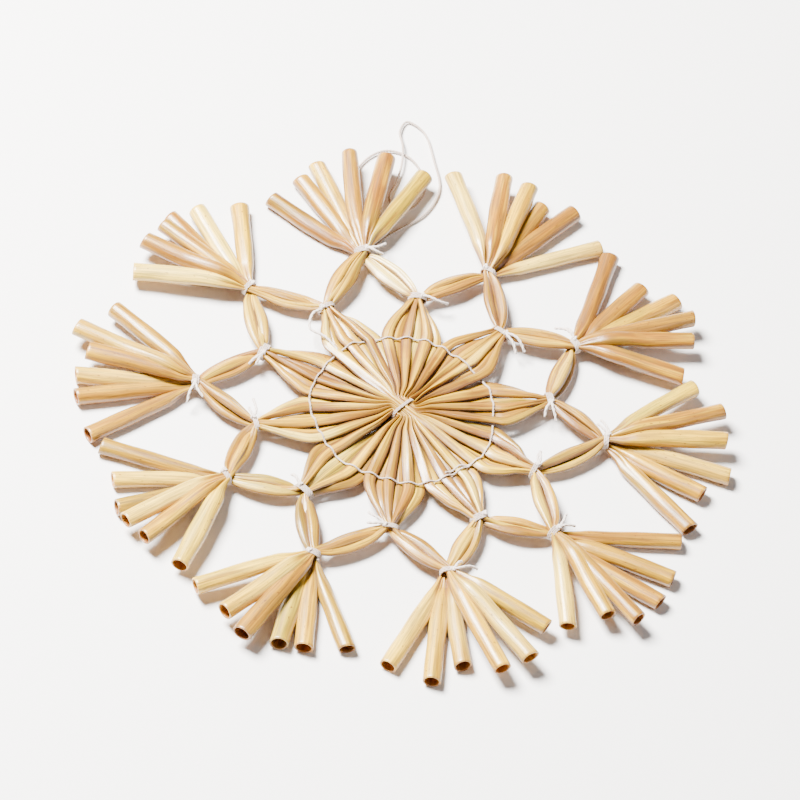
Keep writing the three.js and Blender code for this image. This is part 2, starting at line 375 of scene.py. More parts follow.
class Tree:
    """A node tree with named inputs, and short ways to add nodes to it."""

    def __init__(self, tree):
        self.tree = tree

    def add(self, kind, inputs=None, **settings):
        node = self.tree.nodes.new(kind)
        for name, value in settings.items():
            setattr(node, name, value)
        for name, value in (inputs or {}).items():
            target = node.inputs[name] if isinstance(name, int) else socket(node.inputs, name)
            if isinstance(value, bpy.types.NodeSocket):
                self.tree.links.new(value, target)
            else:
                target.default_value = value
        return node

    def math(self, operation, *values):
        kind = "ShaderNodeMath"
        return self.add(kind, dict(enumerate(values)), operation=operation).outputs[0]

    def vector(self, operation, *values):
        node = self.add("ShaderNodeVectorMath", dict(enumerate(values)), operation=operation)
        return node.outputs["Value"] if operation in ("LENGTH", "DOT_PRODUCT") else node.outputs[0]

    def scaled(self, vector, amount):
        node = self.add("ShaderNodeVectorMath", {"Vector": vector, "Scale": amount},
                        operation="SCALE")
        return node.outputs[0]

    def combine(self, x, y, z):
        return self.add("ShaderNodeCombineXYZ", {"X": x, "Y": y, "Z": z}).outputs[0]


def geometry_tree(name, sizes):
    """An empty geometry tree with a geometry in and out, the named sizes and a material."""
    tree = bpy.data.node_groups.new(name, "GeometryNodeTree")
    face = tree.interface
    face.new_socket("Geometry", in_out="INPUT", socket_type="NodeSocketGeometry")
    for label, (kind, value) in sizes.items():
        entry = face.new_socket(label, in_out="INPUT", socket_type=kind)
        entry.default_value = value
    face.new_socket("Material", in_out="INPUT", socket_type="NodeSocketMaterial")
    face.new_socket("Geometry", in_out="OUTPUT", socket_type="NodeSocketGeometry")
    maker = Tree(tree)
    return maker, maker.add("NodeGroupInput").outputs


def named(maker, name, kind="FLOAT"):
    node = maker.add("GeometryNodeInputNamedAttribute", {"Name": name}, data_type=kind)
    return socket(node.outputs, "Attribute")


def kept(maker, geometry, name, value, kind="FLOAT"):
    node = maker.add("GeometryNodeStoreNamedAttribute",
                     {"Geometry": geometry, "Name": name, "Value": value},
                     data_type=kind, domain="POINT")
    return node.outputs[0]


def close_tree(maker, geometry, material):
    """Ends a tree in real, smooth geometry with its material."""
    smooth = maker.add("GeometryNodeSetShadeSmooth", {"Geometry": geometry}).outputs[0]
    real = maker.add("GeometryNodeRealizeInstances", {"Geometry": smooth}).outputs[0]
    done = maker.add("GeometryNodeSetMaterial", {"Geometry": real, "Material": material})
    maker.add("NodeGroupOutput", {"Geometry": done.outputs[0]})
    return maker.tree


def straw_skin_tree():
    """Skins a line of stations: each has two arms, and the skin is an oval on them with folds."""
    maker, given = geometry_tree("Straw skin", {
        "Sides": ("NodeSocketInt", 28),
        "Fold Depth": ("NodeSocketFloat", 0.42),
        "Fold Sharpness": ("NodeSocketFloat", 14.0),
        "Crest": ("NodeSocketFloat", 0.86),
    })
    line = given["Geometry"]
    size = maker.add("GeometryNodeAttributeDomainSize", {"Geometry": line})
    rows = maker.math("ADD", given["Sides"], 1)
    grid = maker.add("GeometryNodeMeshGrid",
                     {"Vertices X": size.outputs["Point Count"], "Vertices Y": rows})
    index = maker.add("GeometryNodeInputIndex").outputs[0]
    row = maker.math("FLOOR", maker.math("DIVIDE", maker.math("ADD", index, 0.5), rows))
    side = maker.math("SUBTRACT", index, maker.math("MULTIPLY", row, rows))
    turn = maker.math("MULTIPLY", maker.math("DIVIDE", side, given["Sides"]), 2 * math.pi)

    def at_station(value, kind="FLOAT"):
        node = maker.add("GeometryNodeSampleIndex",
                         {"Geometry": line, "Value": value, "Index": row},
                         data_type=kind, domain="POINT")
        return socket(node.outputs, "Value")

    centre = at_station(maker.add("GeometryNodeInputPosition").outputs[0], "FLOAT_VECTOR")
    side_arm = at_station(named(maker, "side_arm", "FLOAT_VECTOR"), "FLOAT_VECTOR")
    rise_arm = at_station(named(maker, "rise_arm", "FLOAT_VECTOR"), "FLOAT_VECTOR")
    pinch = at_station(named(maker, "pinch"))
    along = at_station(named(maker, "along"))
    inside = at_station(named(maker, "inside"))
    tone = at_station(named(maker, "tone"))
    fold_at = at_station(named(maker, "fold_at"))
    ridge = at_station(named(maker, "ridge"))
    skew = at_station(named(maker, "skew"))
    sun = at_station(named(maker, "sun"))

    def fold(offset):
        near = maker.math("COSINE", maker.math("SUBTRACT", turn, maker.math("ADD", fold_at, offset)))
        return maker.math("POWER", maker.math("MAXIMUM", near, 0.0), given["Fold Sharpness"])

    folds = maker.math("ADD", fold(0.0), maker.math("MULTIPLY", fold(2.3), 0.7))
    folds = maker.math("ADD", folds, maker.math("MULTIPLY", fold(-1.9), 0.6))
    depth = maker.math("MULTIPLY", maker.math("MULTIPLY", folds, pinch), given["Fold Depth"])
    cosine, sine = maker.math("COSINE", turn), maker.math("SINE", turn)
    power = maker.math("SUBTRACT", 2.0, maker.math("MULTIPLY", ridge, given["Crest"]))
    total = maker.math("ADD", maker.math("POWER", maker.math("ABSOLUTE", cosine), power),
                       maker.math("POWER", maker.math("ABSOLUTE", sine), power))
    flat = maker.math("POWER", total, maker.math("DIVIDE", -1.0, power))
    reach = maker.math("MULTIPLY", flat, maker.math("SUBTRACT", 1.0, depth))
    lean = maker.math("MULTIPLY", maker.math("MULTIPLY", sine, skew), ridge)
    arm = maker.vector("ADD", maker.scaled(side_arm, maker.math("ADD", cosine, lean)),
                       maker.scaled(rise_arm, sine))
    place = maker.vector("ADD", centre, maker.scaled(arm, reach))
    skin = maker.add("GeometryNodeSetPosition",
                     {"Geometry": grid.outputs["Mesh"], "Position": place}).outputs[0]
    skin = kept(maker, skin, "grain", maker.combine(cosine, sine, along), "FLOAT_VECTOR")
    skin = kept(maker, skin, "inside", inside)
    skin = kept(maker, skin, "tone", tone)
    skin = kept(maker, skin, "fold", maker.math("MULTIPLY", folds, pinch))
    skin = kept(maker, skin, "crease", ridge)
    skin = kept(maker, skin, "sun", sun)
    skin = maker.add("GeometryNodeMergeByDistance", {"Geometry": skin, "Distance": 1e-6}).outputs[0]
    skin = maker.add("GeometryNodeFlipFaces", {"Mesh": skin}).outputs[0]
    return close_tree(maker, skin, given["Material"])


def thread_tree():
    """A thread of two plies along each line of the given mesh."""
    maker, given = geometry_tree("Thread", {
        "Radius": ("NodeSocketFloat", 0.25 * MM),
        "Sides": ("NodeSocketInt", 12),
        "Twist Length": ("NodeSocketFloat", 1.5),
    })
    curve = maker.add("GeometryNodeMeshToCurve", {"Mesh": given["Geometry"]}).outputs[0]
    twist = maker.math("DIVIDE", maker.math("MULTIPLY", named(maker, "along"), 2 * math.pi),
                       given["Twist Length"])
    curve = maker.add("GeometryNodeSetCurveTilt", {"Curve": curve, "Tilt": twist}).outputs[0]
    circle = maker.add("GeometryNodeCurvePrimitiveCircle",
                       {"Resolution": given["Sides"], "Radius": given["Radius"]}).outputs[0]
    index = maker.add("GeometryNodeInputIndex").outputs[0]
    turn = maker.math("MULTIPLY", maker.math("DIVIDE", index, given["Sides"]), 2 * math.pi)
    lobe = maker.math("ABSOLUTE", maker.math("COSINE", turn))
    swell = maker.math("ADD", maker.math("MULTIPLY", lobe, 0.36), 0.68)
    here = maker.add("GeometryNodeInputPosition").outputs[0]
    circle = maker.add("GeometryNodeSetPosition",
                       {"Geometry": circle, "Position": maker.scaled(here, swell)}).outputs[0]
    circle = kept(maker, circle, "lobe", lobe)
    tube = maker.add("GeometryNodeCurveToMesh",
                     {"Curve": curve, "Profile Curve": circle, "Fill Caps": True}).outputs[0]
    return close_tree(maker, tube, given["Material"])


def wound_tie_tree(thread):
    """Turns of thread wound side by side round a bundle with a squarish outline."""
    maker, given = geometry_tree("Wound tie", {
        "Turns": ("NodeSocketInt", 3),
        "Steps Per Turn": ("NodeSocketInt", 60),
        "Half Width": ("NodeSocketFloat", 2 * MM),
        "Half Height": ("NodeSocketFloat", 1.5 * MM),
        "Band Width": ("NodeSocketFloat", 1 * MM),
        "Thread Radius": ("NodeSocketFloat", 0.25 * MM),
        "Twist Length": ("NodeSocketFloat", 1.5),
        "Squareness": ("NodeSocketFloat", 3.0),
        "Direction": ("NodeSocketFloat", 0.0),
        "Start": ("NodeSocketFloat", 0.0),
        "Centre": ("NodeSocketVector", (0.0, 0.0, 0.0)),
    })
    steps = maker.math("MULTIPLY", given["Turns"], given["Steps Per Turn"])
    line = maker.add("GeometryNodeMeshLine",
                     {"Count": maker.math("ADD", steps, 1)}).outputs[0]
    index = maker.add("GeometryNodeInputIndex").outputs[0]
    share = maker.math("DIVIDE", index, steps)
    turn = maker.math("MULTIPLY", maker.math("DIVIDE", index, given["Steps Per Turn"]), 2 * math.pi)
    turn = maker.math("ADD", turn, given["Start"])
    cosine, sine = maker.math("COSINE", turn), maker.math("SINE", turn)
    power = given["Squareness"]
    total = maker.math("ADD", maker.math("POWER", maker.math("ABSOLUTE", cosine), power),
                       maker.math("POWER", maker.math("ABSOLUTE", sine), power))
    reach = maker.math("POWER", total, maker.math("DIVIDE", -1.0, power))
    sideways = maker.math("MULTIPLY", maker.math("MULTIPLY", cosine, reach), given["Half Width"])
    upwards = maker.math("MULTIPLY", maker.math("MULTIPLY", sine, reach), given["Half Height"])
    along = maker.math("MULTIPLY", maker.math("SUBTRACT", share, 0.5), given["Band Width"])
    out = maker.combine(maker.math("COSINE", given["Direction"]),
                        maker.math("SINE", given["Direction"]), 0.0)
    across = maker.combine(maker.math("MULTIPLY", maker.math("SINE", given["Direction"]), -1.0),
                           maker.math("COSINE", given["Direction"]), 0.0)
    place = maker.vector("ADD", maker.scaled(out, along), maker.scaled(across, sideways))
    place = maker.vector("ADD", place, maker.combine(0.0, 0.0, upwards))
    place = maker.vector("ADD", place, given["Centre"])
    line = maker.add("GeometryNodeSetPosition", {"Geometry": line, "Position": place}).outputs[0]
    run = maker.math("MULTIPLY", turn, maker.math("ADD", given["Half Width"], given["Half Height"]))
    line = kept(maker, line, "along", maker.math("DIVIDE", run, 2 * MM))
    tube = maker.add("GeometryNodeGroup", node_tree=thread)
    for name, value in (("Geometry", line), ("Radius", given["Thread Radius"]),
                        ("Twist Length", given["Twist Length"]), ("Material", given["Material"])):
        maker.tree.links.new(value, socket(tube.inputs, name))
    maker.add("NodeGroupOutput", {"Geometry": tube.outputs[0]})
    return maker.tree


def with_tree(obj, tree, values):
    """Puts a geometry tree on an object, with its inputs set by name."""
    modifier = obj.modifiers.new(tree.name, "NODES")
    modifier.node_group = tree
    for item in tree.interface.items_tree:
        if item.item_type == "SOCKET" and item.in_out == "INPUT" and item.name in values:
            modifier[item.identifier] = values[item.name]
    return obj


def made_real(objects):
    """Turns each object's tree into a plain mesh and takes the tree off."""
    scene_graph = bpy.context.evaluated_depsgraph_get()
    scene_graph.update()
    meshes = [
        bpy.data.meshes.new_from_object(
            obj.evaluated_get(scene_graph), preserve_all_data_layers=True, depsgraph=scene_graph)
        for obj in objects
    ]
    for obj, mesh in zip(objects, meshes):
        obj.modifiers.clear()
        old = obj.data
        obj.data = mesh
        mesh.name = obj.name
        bpy.data.meshes.remove(old)
    return objects


def line_object(name, lines, closed=False):
    """An object of lines. Each line is a list of points, and each point keeps its distance run."""
    points, edges, runs = [], [], []
    for line in lines:
        first = len(points)
        run = 0.0
        for place, point in enumerate(line):
            if place:
                run += (Vector(point) - Vector(line[place - 1])).length
                edges.append((first + place - 1, first + place))
            points.append(point)
            runs.append(run / MM)
        if closed:
            edges.append((len(points) - 1, first))
    mesh = bpy.data.meshes.new(name)
    mesh.from_pydata([tuple(p) for p in points], edges, [])
    mesh.attributes.new("along", "FLOAT", "POINT").data.foreach_set("value", runs)
    obj = bpy.data.objects.new(name, mesh)
    bpy.context.scene.collection.objects.link(obj)
    return obj


# Finishes.

def shade(red, green, blue):
    """A colour given as it looks on a screen, from 0 to 255, for a shader."""
    def linear(value):
        value /= 255
        return value / 12.92 if value <= 0.04045 else ((value + 0.055) / 1.055) ** 2.4
    return (linear(red), linear(green), linear(blue), 1.0)


STRAW_SHADES = (
    (0.00, shade(186, 144, 44)), (0.12, shade(212, 174, 64)), (0.24, shade(228, 194, 84)),
    (0.36, shade(196, 156, 52)), (0.48, shade(186, 168, 72)), (0.60, shade(236, 208, 106)),
    (0.72, shade(208, 168, 60)), (0.86, shade(180, 136, 44)), (1.00, shade(242, 218, 128)),
)


def ramp(maker, factor, stops):
    node = maker.add("ShaderNodeValToRGB", {"Fac": factor})
    elements = node.color_ramp.elements
    while len(elements) < len(stops):
        elements.new(0.5)
    for element, (place, colour) in zip(elements, stops):
        element.position = place
        element.color = colour
    return node.outputs[0]


def blend(maker, factor, low, high, way="MIX"):
    node = maker.add("ShaderNodeMix", {"Factor": factor}, data_type="RGBA", blend_type=way)
    for name, value in (("A", low), ("B", high)):
        target = socket(node.inputs, name)
        if isinstance(value, bpy.types.NodeSocket):
            maker.tree.links.new(value, target)
        else:
            target.default_value = value
    return socket(node.outputs, "Result")


def spread(maker, value, low, high, to_low=0.0, to_high=1.0):
    node = maker.add("ShaderNodeMapRange", {"Value": value, "From Min": low, "From Max": high,
                                            "To Min": to_low, "To Max": to_high})
    return node.outputs[0]


def noise(maker, vector, scale, detail=3.0, roughness=0.55):
    node = maker.add("ShaderNodeTexNoise", {"Vector": vector, "Scale": scale, "Detail": detail,
                                            "Roughness": roughness})
    return node.outputs[0]


def attribute(maker, name, output="Fac"):
    return maker.add("ShaderNodeAttribute", attribute_name=name).outputs[output]


def grain_space(maker, around, along, shift):
    """Coordinates that run fast round a straw and slowly along it, different on each straw."""
    grain = attribute(maker, "grain", "Vector")
    stretched = maker.vector("MULTIPLY", grain, (around, around, along))
    return maker.vector("ADD", stretched, shift)


def straw_material(settings):
    """Dried straw: satin, with lengthwise fibres and paler and darker stalks, with painted shade in
    the open ends, on the undersides, along the flattened side edges and in the folds.
    """
    material = bpy.data.materials.new("dried_straw")
    material.use_nodes = True
    tree = material.node_tree
    tree.nodes.clear()
    maker = Tree(tree)
    tone = attribute(maker, "tone")
    inside = attribute(maker, "inside")
    fold = attribute(maker, "fold")
    shift = maker.combine(maker.math("MULTIPLY", tone, 37.0), maker.math("MULTIPLY", tone, 91.0),
                          maker.math("MULTIPLY", tone, 53.0))
    streaks = noise(maker, grain_space(maker, 1.7, 0.045, shift), 1.0, 2.0, 0.5)
    fibres = noise(maker, grain_space(maker, 5.5, 0.11, shift), 1.0, 4.0, 0.65)
    patches = noise(maker, grain_space(maker, 0.45, 0.06, shift), 1.0, 2.0, 0.5)
    specks = noise(maker, grain_space(maker, 5.0, 1.1, shift), 1.0, 1.0, 0.4)
    colour = ramp(maker, tone, STRAW_SHADES)
    pale = spread(maker, streaks, 0.50, 0.66)
    colour = blend(maker, maker.math("MULTIPLY", pale, 0.6), colour, shade(255, 226, 116))
    tan = spread(maker, streaks, 0.47, 0.33)
    colour = blend(maker, maker.math("MULTIPLY", tan, 0.65), colour, shade(172, 132, 40))
    green = spread(maker, patches, 0.54, 0.68)
    colour = blend(maker, maker.math("MULTIPLY", green, 0.5), colour, shade(190, 176, 88))
    cream = spread(maker, patches, 0.44, 0.30)
    colour = blend(maker, maker.math("MULTIPLY", cream, 0.45), colour, shade(246, 216, 112))
    sun = attribute(maker, "sun")
    bleached = maker.math("MULTIPLY", spread(maker, sun, 0.1, 1.5), 0.95)
    colour = blend(maker, bleached, colour, shade(255, 238, 176))
    ripe = maker.math("MULTIPLY", spread(maker, sun, -0.1, -1.0), 0.65)
    colour = blend(maker, ripe, colour, shade(176, 136, 40))
    lines = spread(maker, fibres, 0.34, 0.62, 0.66, 1.08)
    colour = blend(maker, 1.0, colour, maker.combine(lines, lines, lines), "MULTIPLY")
    speckled = spread(maker, specks, 0.70, 0.76)
    colour = blend(maker, maker.math("MULTIPLY", speckled, 0.6), colour, shade(128, 76, 34))
    # Painted shade: the underside of each straw is darkened towards tan.
    around = maker.add("ShaderNodeSeparateXYZ", {"Vector": attribute(maker, "grain", "Vector")})
    under = spread(maker, around.outputs["Y"], 0.3, -0.5)
    colour = blend(maker, maker.math("MULTIPLY", under, 0.6), colour, shade(170, 124, 44))
    # Painted shade along the flattened side edges of each straw, darkening the gaps between
    # neighbouring straws.
    sideways = maker.math("ABSOLUTE", around.outputs["X"])
    edges = maker.math("MULTIPLY", spread(maker, sideways, 0.72, 0.98), attribute(maker, "crease"))
    colour = blend(maker, maker.math("MULTIPLY", edges, 0.75), colour, shade(130, 88, 40))
    # Painted shade in the pinched lengthwise folds near the ties.
    painted_fold_shade = maker.math("MULTIPLY", spread(maker, fold, 0.2, 1.0), 0.7)
    colour = blend(maker, painted_fold_shade, colour, shade(160, 106, 46))
    colour = maker.add("ShaderNodeGamma", {"Color": colour, "Gamma": 1.72}).outputs[0]
    colour = maker.add("ShaderNodeHueSaturation", {"Color": colour, "Saturation": 1.08}).outputs[0]
    # Painted shade: the open ends darken from a pale rim to tan deeper inside the channel.
    hollow = ramp(maker, inside, ((0.0, shade(255, 255, 255)), (0.25, shade(252, 236, 200)),
                                  (0.6, shade(244, 208, 156)), (1.0, shade(206, 158, 108))))
    colour = blend(maker, 1.0, colour, hollow, "MULTIPLY")
    gloss = spread(maker, fibres, 0.3, 0.7, settings.roughness + 0.1, settings.roughness - 0.07)
    gloss = maker.math("ADD", gloss, maker.math("MULTIPLY", inside, 0.35))
    relief = maker.math("ADD", maker.math("MULTIPLY", fibres, 0.6),
                        maker.math("MULTIPLY", streaks, 0.8))
    bump = maker.add("ShaderNodeBump", {"Height": relief, "Strength": 0.8,
                                        "Distance": 0.22 * MM})
    surface = maker.add("ShaderNodeBsdfPrincipled", {
        "Base Color": colour, "Roughness": gloss, "Normal": bump.outputs[0],
        "Specular IOR Level": 0.6, "Coat Weight": 0.5, "Coat Roughness": 0.2,
        "Sheen Weight": 0.08,
    })
    maker.add("ShaderNodeOutputMaterial", {"Surface": surface.outputs[0]})
    return material


def thread_material(settings):
    """Two-ply cotton: plies wound round each other, dull, a little uneven, paler at loose ends, with
    painted shade in the valleys between the plies.
    """
    material = bpy.data.materials.new("cotton_thread")
    material.use_nodes = True
    tree = material.node_tree
    tree.nodes.clear()
    maker = Tree(tree)
    lobe = attribute(maker, "lobe")
    place = maker.add("ShaderNodeTexCoord").outputs["Object"]
    fluff = noise(maker, place, 9000.0, 3.0, 0.6)
    stain = noise(maker, place, 160.0, 2.0, 0.5)
    colour = ramp(maker, stain, ((0.35, shade(178, 158, 144)), (0.65, (*settings.colour, 1.0))))
    loose = maker.math("MULTIPLY", attribute(maker, "loose"), 0.75)
    colour = blend(maker, loose, colour, shade(240, 228, 220))
    # Painted shade in the valleys between the two plies.
    painted_valley_shade = spread(maker, lobe, 0.0, 0.6, 0.6, 1.0)
    colour = blend(maker, 1.0, colour, maker.combine(painted_valley_shade, painted_valley_shade, painted_valley_shade), "MULTIPLY")
    colour = blend(maker, maker.math("MULTIPLY", fluff, 0.3), colour, shade(232, 220, 210))
    bump = maker.add("ShaderNodeBump", {"Height": fluff, "Strength": 0.6, "Distance": 0.08 * MM})
    roughness = spread(maker, fluff, 0.3, 0.7, 0.95, 0.8)
    surface = maker.add("ShaderNodeBsdfPrincipled", {
        "Base Color": colour, "Roughness": roughness, "Normal": bump.outputs[0],
        "Specular IOR Level": 0.25, "Sheen Weight": 0.35,
    })
    maker.add("ShaderNodeOutputMaterial", {"Surface": surface.outputs[0]})
    return material


def finish(name, build, settings):
    """The finish of that name, built once."""
    return bpy.data.materials.get(name) or build(settings)


def onto_root(obj, nodes=()):
    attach(obj, "root")
    if nodes:
        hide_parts(*nodes)
    return obj


def lifted(point, height):
    """A place in millimetres from the hub, as a point of the frame."""
    return HUB + Vector((point.x, point.y, height)) * MM


# Sizes and colours a user would change.

class StrawSettings(bpy.types.PropertyGroup):
    fullness: bpy.props.FloatProperty(
        name="Fullness", description="How wide the straws swell between the ties",
        default=1.0, min=0.8, max=1.15)
    step: bpy.props.FloatProperty(
        name="Step", description="Distance between the rings of a straw's skin",
        default=0.6 * MM, min=0.2 * MM, max=2 * MM, unit="LENGTH", precision=5)
    sides: bpy.props.IntProperty(
        name="Sides", description="Points round a straw", default=28, min=8, max=48)
    wall: bpy.props.FloatProperty(
        name="Wall", description="Thickness of the straw's wall at a cut end",
        default=0.42 * MM, min=0.1 * MM, max=0.8 * MM, unit="LENGTH", precision=5)
    hollow: bpy.props.FloatProperty(
        name="Hollow", description="How far the open channel goes into a cut end",
        default=7 * MM, min=1 * MM, max=9 * MM, unit="LENGTH", precision=5)
    roughness: bpy.props.FloatProperty(
        name="Roughness", description="Dullness of the straw's skin",
        default=0.36, min=0.0, max=1.0, subtype="FACTOR")


class ThreadSettings(bpy.types.PropertyGroup):
    diameter: bpy.props.FloatProperty(
        name="Thread", description="Diameter of the binding thread",
        default=0.45 * MM, min=0.2 * MM, max=1 * MM, unit="LENGTH", precision=5)
    loop_diameter: bpy.props.FloatProperty(
        name="Loop Thread", description="Diameter of the hanging loop's thread",
        default=0.6 * MM, min=0.2 * MM, max=1 * MM, unit="LENGTH", precision=5)
    twist_length: bpy.props.FloatProperty(
        name="Twist Length", description="Length of one turn of the two plies, in millimetres",
        default=1.5, min=0.5, max=6.0)
    turns: bpy.props.IntProperty(
        name="Turns", description="Most turns of thread in a tie", default=4, min=3, max=6)
    colour: bpy.props.FloatVectorProperty(
        name="Colour", description="Colour of the thread", subtype="COLOR", size=3,
        default=shade(204, 184, 172)[:3], min=0.0, max=1.0)


class StageSettings(bpy.types.PropertyGroup):
    distance: bpy.props.FloatProperty(
        name="Camera Distance", description="From the camera to the snowflake",
        default=1.3, min=0.3, max=5.0, unit="LENGTH")
    lens: bpy.props.FloatProperty(
        name="Lens", description="Focal length of the camera", default=262.0, min=20.0, max=600.0,
        unit="CAMERA")
    floor_colour: bpy.props.FloatVectorProperty(
        name="Floor Colour", description="Colour of the table", subtype="COLOR", size=3,
        default=shade(247, 246, 245)[:3], min=0.0, max=1.0)


def area_light(name, place, target, size, power, colour):
    light = bpy.data.lights.new(name, "AREA")
    light.shape = "DISK"
    light.size = size
    light.energy = power
    light.color = colour
    obj = bpy.data.objects.new(name, light)
    obj.location = place
    obj.rotation_mode = "QUATERNION"
    obj.rotation_quaternion = (Vector(target) - Vector(place)).to_track_quat("-Z", "Y")
    bpy.context.scene.collection.objects.link(obj)
    return obj


class SNOWFLAKE_OT_stage(bpy.types.Operator):
    """Set the camera, the soft lights and the pale table"""
    bl_idname = "snowflake.stage"
    bl_label = "Stage"

    def execute(self, context):
        settings = context.scene.snowflake_stage
        camera = bpy.data.cameras.new("camera")
        camera.lens = settings.lens
        camera.clip_start = 0.01
        camera.clip_end = 20
        holder = bpy.data.objects.new("camera", camera)
        # The camera's right and back; it looks down on the flat snowflake at a slant.
        right = Vector((0.7435, 0.6538, 0.1406)).normalized()
        back = Vector((0.3344, -0.5457, 0.7684)).normalized()
        up = back.cross(right).normalized()
        right = up.cross(back)
        aim = HUB + Vector((-2.5, 2.0, 0)) * MM
        turn = Matrix((right, up, back)).transposed()
        holder.matrix_world = Matrix.Translation(aim + back * settings.distance) @ turn.to_4x4()
        context.scene.collection.objects.link(holder)
        context.scene.camera = holder

        mesh = bpy.data.meshes.new("table")
        reach = 4.0
        corners = [(-reach, -reach, 0), (reach, -reach, 0), (reach, reach, 0), (-reach, reach, 0)]
        mesh.from_pydata(corners, [], [(0, 1, 2, 3)])
        table = bpy.data.objects.new("table", mesh)
        context.scene.collection.objects.link(table)
        material = bpy.data.materials.new("table")
        material.use_nodes = True
        surface = material.node_tree.nodes["Principled BSDF"]
        surface.inputs["Base Color"].default_value = (*settings.floor_colour, 1.0)
        surface.inputs["Roughness"].default_value = 0.6
        mesh.materials.append(material)

        world = bpy.data.worlds.new("studio")
        world.use_nodes = True
        world.node_tree.nodes["Background"].inputs["Color"].default_value = (0.97, 0.95, 1.0, 1.0)
        world.node_tree.nodes["Background"].inputs["Strength"].default_value = 0.11
        context.scene.world = world
        key = HUB + (up * 0.75 - right * 0.35 + back * 0.5) * 0.8
        fill = HUB + (right * 0.9 + back * 0.6 + up * 0.1) * 1.0
        area_light("key", key, HUB, 0.34, 54.0, (1.0, 0.98, 0.95))
        area_light("fill", fill, HUB, 0.7, 3.0, (0.96, 0.98, 1.0))
        return {"FINISHED"}


def rounded_route(points, step):
    """A smooth line through the points, read about every step."""
    def cubic(a, b, c, d, t):
        knots = [0.0]
        for low, high in ((a, b), (b, c), (c, d)):
            knots.append(knots[-1] + max((high - low).length, 1e-9) ** 0.5)
        t = mix(knots[1], knots[2], t)
        one = mix(a, b, (t - knots[0]) / (knots[1] - knots[0]))
        two = mix(b, c, (t - knots[1]) / (knots[2] - knots[1]))
        three = mix(c, d, (t - knots[2]) / (knots[3] - knots[2]))
        four = mix(one, two, (t - knots[0]) / (knots[2] - knots[0]))
        five = mix(two, three, (t - knots[1]) / (knots[3] - knots[1]))
        return mix(four, five, (t - knots[1]) / (knots[2] - knots[1]))

    ends = [2 * points[0] - points[1]] + list(points) + [2 * points[-1] - points[-2]]
    line = []
    for i in range(len(points) - 1):
        a, b, c, d = ends[i:i + 4]
        count = max(2, round((c - b).length / step))
        line += [cubic(a, b, c, d, k / count) for k in range(count)]
    return line + [points[-1].copy()]


class SNOWFLAKE_OT_hanging_loop(bpy.types.Operator):
    """Lay the limp hanging loop out beside one fan and under it"""
    bl_idname = "snowflake.hanging_loop"
    bl_label = "Hanging Loop"

    def execute(self, context):
        settings = context.scene.snowflake_thread
        tie = outer_tie(LOOP_POINT)
        route = []
        for along, sideways, height in LOOP_ROUTE:
            point = tie.place(along, sideways)
            route.append(Vector((point.x, point.y, height)))
        line = rounded_route(route, THREAD_STEP)
        low = min(point.z for point in line)
        rise = (LOOP_LOW.z / MM + settings.loop_diameter / MM / 2) - low
        line = [Vector((HUB.x, HUB.y, 0)) + (p + Vector((0, 0, rise))) * MM for p in line]
        loop = line_object("hanging_thread", [line])
        with_tree(loop, thread_tree_once(), {
            "Radius": settings.loop_diameter / 2, "Twist Length": settings.twist_length,
            "Material": finish("cotton_thread", thread_material, settings)})
        made_real([loop])
        onto_root(loop, ["hanging_loop"])
        return {"FINISHED"}


def thread_tree_once():
    return bpy.data.node_groups.get("Thread") or thread_tree()


